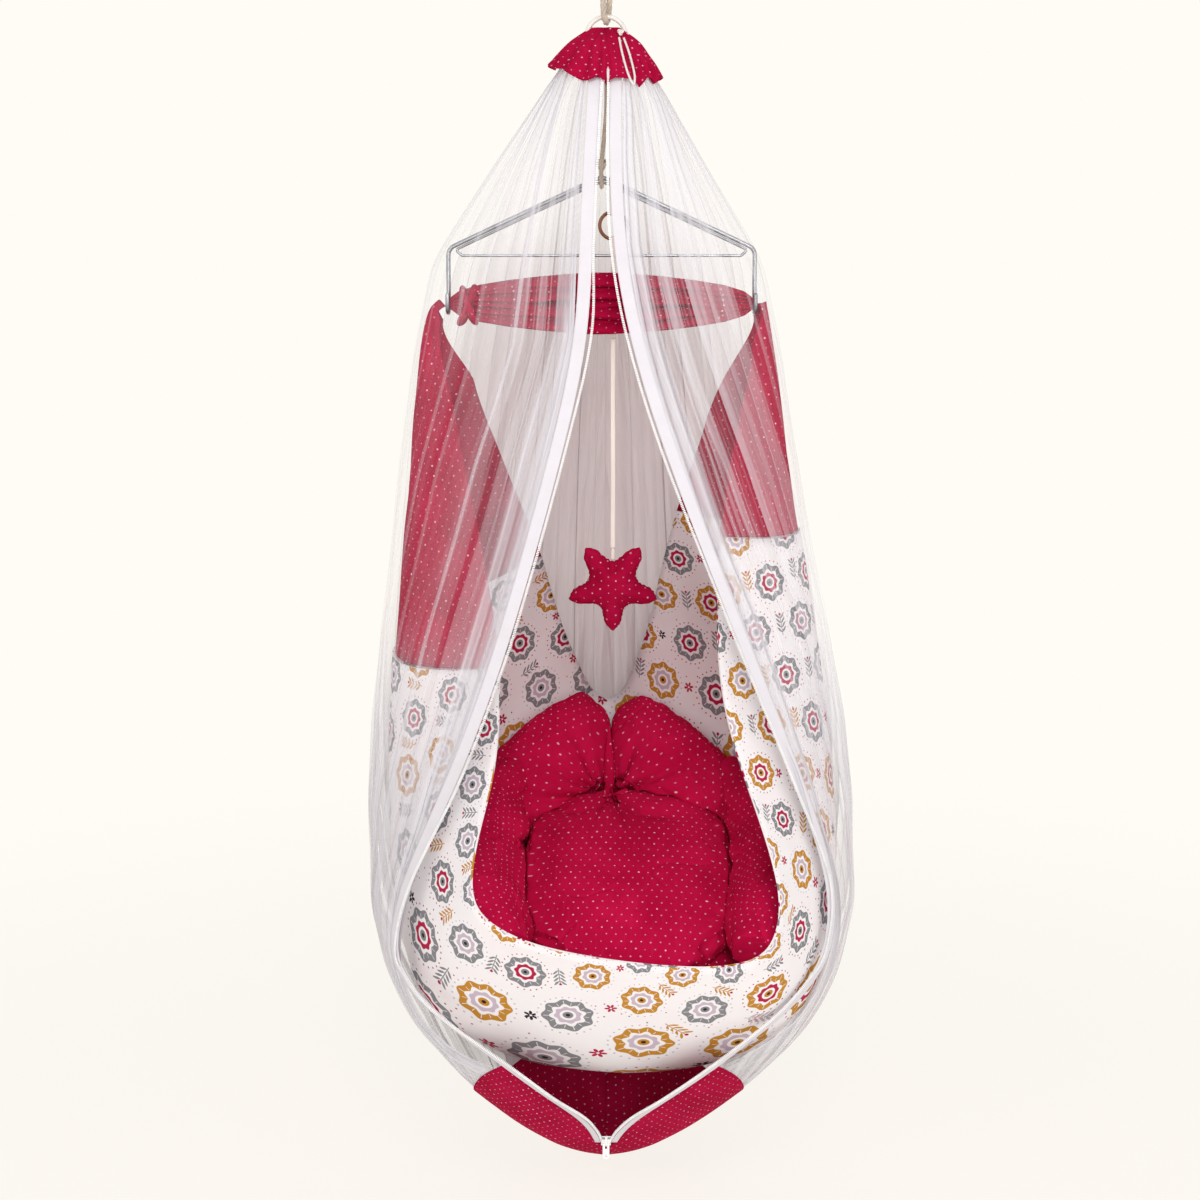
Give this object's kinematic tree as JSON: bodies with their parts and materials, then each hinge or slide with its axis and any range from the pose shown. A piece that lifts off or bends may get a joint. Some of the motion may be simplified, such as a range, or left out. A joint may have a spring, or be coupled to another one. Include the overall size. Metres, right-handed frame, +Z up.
{
  "type": "hanging baby cradle",
  "caption": "Hanging baby cradle: a padded cloth nest slung from a steel hanger inside a zipped net with a gathered collar, on a rope, ring and ceiling hook, with a star toy.",
  "frame": {"origin": "middle of the ceiling plate's upper face, where the cradle is screwed to a ceiling", "axes": "+Z up, front with the net's doorway towards -Y, +X to the right seen from the front"},
  "size_m": [0.6675, 0.5642, 1.6797],
  "materials": {
    "steel": "satin",
    "crimson_cloth": "matt cotton with small pale dots",
    "printed_cloth": "matt cotton with a printed pattern",
    "net_cloth": "fine see-through net",
    "white_tape": "matt woven tape",
    "white_plastic": "satin",
    "rope_cord": "twisted cord",
    "ring_resin": "semi-gloss",
    "bronze_ring": "satin"
  },
  "bodies": {
    "ceiling_fitting": {"ceiling_plate": "steel", "plate_screw_left": "steel", "plate_screw_right": "steel", "ceiling_hook": "steel"},
    "rope": {"upper_rope": "rope_cord"},
    "cradle": {"suspension_ring": "ring_resin", "lower_rope": "rope_cord", "hanger_bow": "steel", "hanger_brace": "steel", "toy_strap": "white_tape", "toy_ring": "bronze_ring", "toy_ribbon_upper": "white_tape", "top_swag": "crimson_cloth", "left_side_panel": "crimson_cloth", "right_side_panel": "crimson_cloth", "sling_body": "printed_cloth", "mattress_pad": "crimson_cloth", "left_back_pillow": "crimson_cloth", "right_back_pillow": "crimson_cloth", "left_bolster": "crimson_cloth", "right_bolster": "crimson_cloth", "nest_base_cushion": "crimson_cloth", "left_net_panel": "net_cloth", "left_net_base": "crimson_cloth", "right_net_panel": "net_cloth", "right_net_base": "crimson_cloth", "net_collar": "crimson_cloth", "drawstring_knot": "rope_cord", "net_drawstring": "rope_cord", "left_zip_tape": "white_tape", "left_zip_teeth": "white_plastic", "right_zip_tape": "white_tape", "right_zip_teeth": "white_plastic", "zip_slider": "white_plastic"},
    "ribbon": {"toy_ribbon": "white_tape"},
    "loop": {"star_loop": "white_tape"},
    "star": {"star_toy": "crimson_cloth"},
    "pull_tab": {"zip_pull_tab": "white_plastic"}
  },
  "joints": [
    {"name": "rope_swing", "type": "hinge", "parent": "ceiling_fitting", "child": "rope", "pos_m": [0, 0, -0.048], "axis": [0, 1, 0], "range_deg": [-15, 15]},
    {"name": "cradle_swing", "type": "hinge", "parent": "rope", "child": "cradle", "pos_m": [0, 0, -0.1248], "axis": [1, 0, 0], "range_deg": [-15, 15]},
    {"name": "toy_swing", "type": "hinge", "parent": "cradle", "child": "ribbon", "pos_m": [0.009, -0.00356, -0.53197], "axis": [1, 0, 0], "range_deg": [-18, 18]},
    {"name": "star_swing", "type": "hinge", "parent": "ribbon", "child": "loop", "pos_m": [0.009, -0.00356, -0.80972], "axis": [0, 1, 0], "range_deg": [-30, 30]},
    {"name": "star_turn", "type": "hinge", "parent": "loop", "child": "star", "pos_m": [0.009, -0.00356, -0.82502], "axis": [0, 0, 1], "range_deg": [-180, 180]},
    {"name": "pull_tab_flip", "type": "hinge", "parent": "cradle", "child": "pull_tab", "pos_m": [0.00012, -0.09765, -1.60688], "axis": [-1, 0, 0], "range_deg": [-35, 125]}
  ]
}
